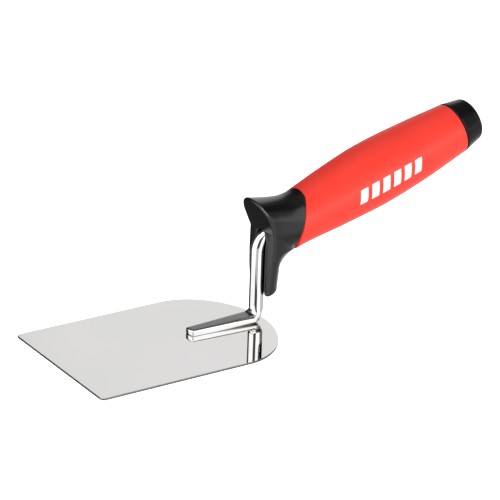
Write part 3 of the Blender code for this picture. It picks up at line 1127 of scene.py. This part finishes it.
def buildCap():
    shape = capShape
    length = gripShape["length"]
    start, end = length + shape["gap"], length + shape["length"]
    full, far = gripShape["rearRadius"], gripShape["rearRadius"] - shape["taper"]
    rounding, corner = shape["seamRound"], shape["edgeRound"]
    profile = [(start, shape["coreRadius"] - shape["seamSink"])]
    for along, across in rounded(rounding, 4):
        profile.append((start + along, full - across))
    for k in range(1, 9):
        profile.append((blend(start + rounding, end - corner, k / 9), blend(full, far, k / 9)))
    for across, along in rounded(corner, 10):
        profile.append((end - along, far - across))
    for k in range(1, 6):
        share = 1 - k / 6
        profile.append((end - shape["dish"] * (1 - share**2), (far - corner) * share))
    piece = turnedPiece("endCap", profile, capPlastic)
    return settle(piece, "black_plastic", "end_cap")


def buildCore():
    shape = capShape
    front, overrun = shape["coreOverrun"]
    rear = gripShape["length"] + overrun
    profile = [(blend(front, rear, k / 20), shape["coreRadius"]) for k in range(21)]
    return settle(turnedPiece("coreTube", profile, blackPlastic), "black_plastic", "handle_core")


buildCap()
buildCore()
print("cap and core built")


studio = {
    "floorSize": 8.0,
    "floorDrop": 0.05 * mm,
    "floorGlow": 1.1,
    "floorFill": (0.38, 0.38, 0.38),
    "floorColor": (0.9, 0.9, 0.9),
    "frontHeading": radians(-124.1),
    "backdrop": 1.29,
    "highFront": 2.6,
    "lowFront": 2.2,
    "frontBand": (-0.1, 0.22),  # heights between which the front turns from low to high
    "lowBack": 0.45,
    "lowBand": (-0.25, -0.02),
    "backTurn": (-0.75, -0.1),  # how far round the backdrop gives way to the front
    "lowBackTurn": (-0.7, -0.2),
    "underside": 0.36,
    "undersideBand": (-0.8, -0.62),
    "ceiling": 0.1,
    "ceilingHeight": (0.45, 0.76),  # behind and ahead
    "ceilingTurn": (-0.5, 0.2),
    "ceilingSoft": 0.08,
    "skylight": (-0.526, -0.141, 0.839),
    "skylightEdge": (0.87, 0.94),
    "skylightGlow": 3.5,
    "fill": 0.72,
    "seen": 1.05,
    "gapSoft": 0.05,
    "gaps": (
        {"turn": -7, "half": 20, "soft": 4, "low": -0.1, "high": 2.0, "dark": 0.05},
        {"turn": -7, "half": 20, "soft": 6, "low": -0.75, "high": -0.1, "dark": 0.4},
        {"turn": -137, "half": 34, "soft": 5, "low": -0.8, "high": 0.9, "dark": 0.06},
        {"turn": 112, "half": 36, "soft": 6, "low": 0.09, "high": 0.87, "dark": 0.16},
        {"turn": 98, "half": 36, "soft": 8, "low": -0.8, "high": 0.0, "dark": 0.45},
    ),
}


def buildFloor():
    half, drop = studio["floorSize"] / 2, studio["floorDrop"]
    bm = bmesh.new()
    sides = ((-1, -1), (1, -1), (1, 1), (-1, 1))
    bm.faces.new([bm.verts.new((x * half, y * half, -drop)) for x, y in sides])
    mesh = bpy.data.meshes.new("studioFloor")
    bm.to_mesh(mesh)
    bm.free()
    floor = inScene("studioFloor", mesh)
    material = bpy.data.materials.new("paleFloor")
    material.use_nodes = True
    tree = material.node_tree
    shader = tree.nodes["Principled BSDF"]
    shader.inputs["Base Color"].default_value = (*studio["floorColor"], 1)
    shader.inputs["Roughness"].default_value = 0.8
    shader.inputs["Specular IOR Level"].default_value = 0.0
    seen = tree.nodes.new("ShaderNodeLightPath").outputs["Is Camera Ray"]
    shader.inputs["Emission Strength"].default_value = studio["floorGlow"]
    glow = tinted(tree, seen, studio["floorFill"], (1, 1, 1))
    tree.links.new(glow, shader.inputs["Emission Color"])
    clear = tree.nodes.new("ShaderNodeBsdfTransparent").outputs[0]
    back = tree.nodes.new("ShaderNodeNewGeometry").outputs["Backfacing"]
    oneSided = mixShader(tree, back, shader.outputs[0], clear)
    tree.links.new(oneSided, tree.nodes["Material Output"].inputs["Surface"])
    mesh.materials.append(material)
    floor.visible_glossy = False


def scaled(tree, level, share, factor):
    return times(tree, level, timesPlus(tree, share, factor - 1.0, 1.0))


def darkGap(tree, gap, heading, height):
    turned = maths(tree, "SUBTRACT", heading, studio["frontHeading"] + radians(gap["turn"]))
    folded = maths(tree, "ABSOLUTE", maths(tree, "WRAP", turned, pi, -pi))
    half, soft = radians(gap["half"]), radians(gap["soft"])
    low, high, edge = gap["low"], gap["high"], studio["gapSoft"]
    window = between(tree, folded, half - soft, half + soft, 1.0, 0.0)
    above = between(tree, height, low - edge, low + edge)
    below = between(tree, height, high - edge, high + edge, 1.0, 0.0)
    return times(tree, window, times(tree, above, below))


def mixShader(tree, share, first, second):
    mix = tree.nodes.new("ShaderNodeMixShader")
    for k, output in enumerate((share, first, second)):
        tree.links.new(output, mix.inputs[k])
    return mix.outputs[0]


def background(tree, strength):
    node = tree.nodes.new("ShaderNodeBackground")
    plug(tree, strength, node.inputs["Strength"])
    return node.outputs[0]


def buildWorld():
    world = bpy.data.worlds.new("lightTent")
    bpy.context.scene.world = world
    world.use_nodes = True
    tree = world.node_tree
    tree.nodes.clear()
    sky = tree.nodes.new("ShaderNodeTexCoord").outputs["Generated"]
    direction = parted(tree, sky)
    heading = maths(tree, "ARCTAN2", direction["Y"], direction["X"])
    height = direction["Z"]
    front = studio["frontHeading"]
    forward = times(tree, direction["X"], cos(front))
    toFront = timesPlus(tree, direction["Y"], sin(front), forward)
    ahead = between(tree, height, *studio["frontBand"], studio["lowFront"], studio["highFront"])
    around = times(tree, ahead, between(tree, toFront, *studio["backTurn"]))
    behind = between(tree, toFront, *studio["backTurn"], studio["backdrop"], 0.0)
    low = between(tree, toFront, *studio["lowBackTurn"], studio["lowBack"], studio["lowFront"])
    lowered = between(tree, height, *studio["lowBand"], low, 0.0)
    level = maths(tree, "MAXIMUM", maths(tree, "ADD", around, behind), lowered)
    under = between(tree, height, *studio["undersideBand"], studio["underside"], 1.0)
    level = times(tree, level, under)
    rise = between(tree, toFront, *studio["ceilingTurn"], *studio["ceilingHeight"])
    overhead = between(tree, height, rise, maths(tree, "ADD", rise, studio["ceilingSoft"]))
    level = scaled(tree, level, overhead, studio["ceiling"])
    for gap in studio["gaps"]:
        level = scaled(tree, level, darkGap(tree, gap, heading, height), gap["dark"])
    window = tree.nodes.new("ShaderNodeVectorMath")
    window.operation = "DOT_PRODUCT"
    tree.links.new(sky, window.inputs[0])
    window.inputs[1].default_value = studio["skylight"]
    nearness = window.outputs["Value"]
    skylight = between(tree, nearness, *studio["skylightEdge"], 0.0, studio["skylightGlow"])
    mirrored = background(tree, maths(tree, "MAXIMUM", level, skylight))
    path = tree.nodes.new("ShaderNodeLightPath").outputs
    lit = mixShader(tree, path["Is Glossy Ray"], background(tree, studio["fill"]), mirrored)
    whole = mixShader(tree, path["Is Camera Ray"], lit, background(tree, studio["seen"]))
    output = tree.nodes.new("ShaderNodeOutputWorld")
    tree.links.new(whole, output.inputs["Surface"])


toolMiddle = (0.08, 0, 0.06)
lamps = {  # place, aim, size and power
    "frontSoftbox": ((-0.2, -0.5, 0.2), (0.1, 0, 0.06), (0.3, 0.2), 1.3),
    "topSoftbox": ((0.1, 0.2, 1.5), (0.05, 0, 0), (1.4, 1.4), 5.0),
    "rimStrip": ((-0.616, -0.489, 0.397), toolMiddle, (0.16, 1.0), 14.0),
    "gripStrip": ((0.371, -0.638, 0.157), toolMiddle, (0.2, 0.4), 1.4),
}


def addSoftbox(name):
    place, aim, size, power = lamps[name]
    lamp = bpy.data.lights.new(name, "AREA")
    lamp.shape = "RECTANGLE"
    lamp.size, lamp.size_y = size
    lamp.energy = power
    box = inScene(name, lamp)
    box.location = place
    box.rotation_euler = (Vector(aim) - box.location).to_track_quat("-Z", "Y").to_euler()
    return box


def lightOnly(lamp, piece, along):
    aim = (Vector(lamps[lamp.name][1]) - lamp.location).normalized()
    along = Vector(along)
    along = (along - aim * along.dot(aim)).normalized()
    lamp.rotation_euler = Matrix((along.cross(-aim), along, -aim)).transposed().to_euler()
    lit = bpy.data.collections.new(lamp.name + "Lit")
    lit.objects.link(piece)
    lamp.light_linking.receiver_collection = lit


view = {
    "lens": 183.2,
    "sensor": 36.0,
    "place": (-0.57492, -0.91999, 0.49464),
    "forward": (0.51819, 0.76596, -0.38049),
    "right": (0.83503, -0.54931, 0.0314),
}


def buildCamera():
    data = bpy.data.cameras.new("camera")
    data.lens = view["lens"]
    data.sensor_width = view["sensor"]
    camera = inScene("camera", data)
    forward = Vector(view["forward"]).normalized()
    right = Vector(view["right"])
    right = (right - forward * right.dot(forward)).normalized()
    turn = Matrix((right, right.cross(forward), -forward)).transposed().to_4x4()
    camera.matrix_world = Matrix.Translation(view["place"]) @ turn
    bpy.context.scene.camera = camera


buildFloor()
buildWorld()
for softbox in ("frontSoftbox", "topSoftbox"):
    addSoftbox(softbox).visible_glossy = False
rimStrip = addSoftbox("rimStrip")
rimStrip.visible_diffuse = False
lightOnly(rimStrip, bolsterPiece, (-0.03, 0.57, 0.82))
lightOnly(addSoftbox("gripStrip"), sleevePiece, (0.9, 0, 0.3))
buildCamera()
bpy.context.scene.view_settings.view_transform = "Standard"
print("studio ready")
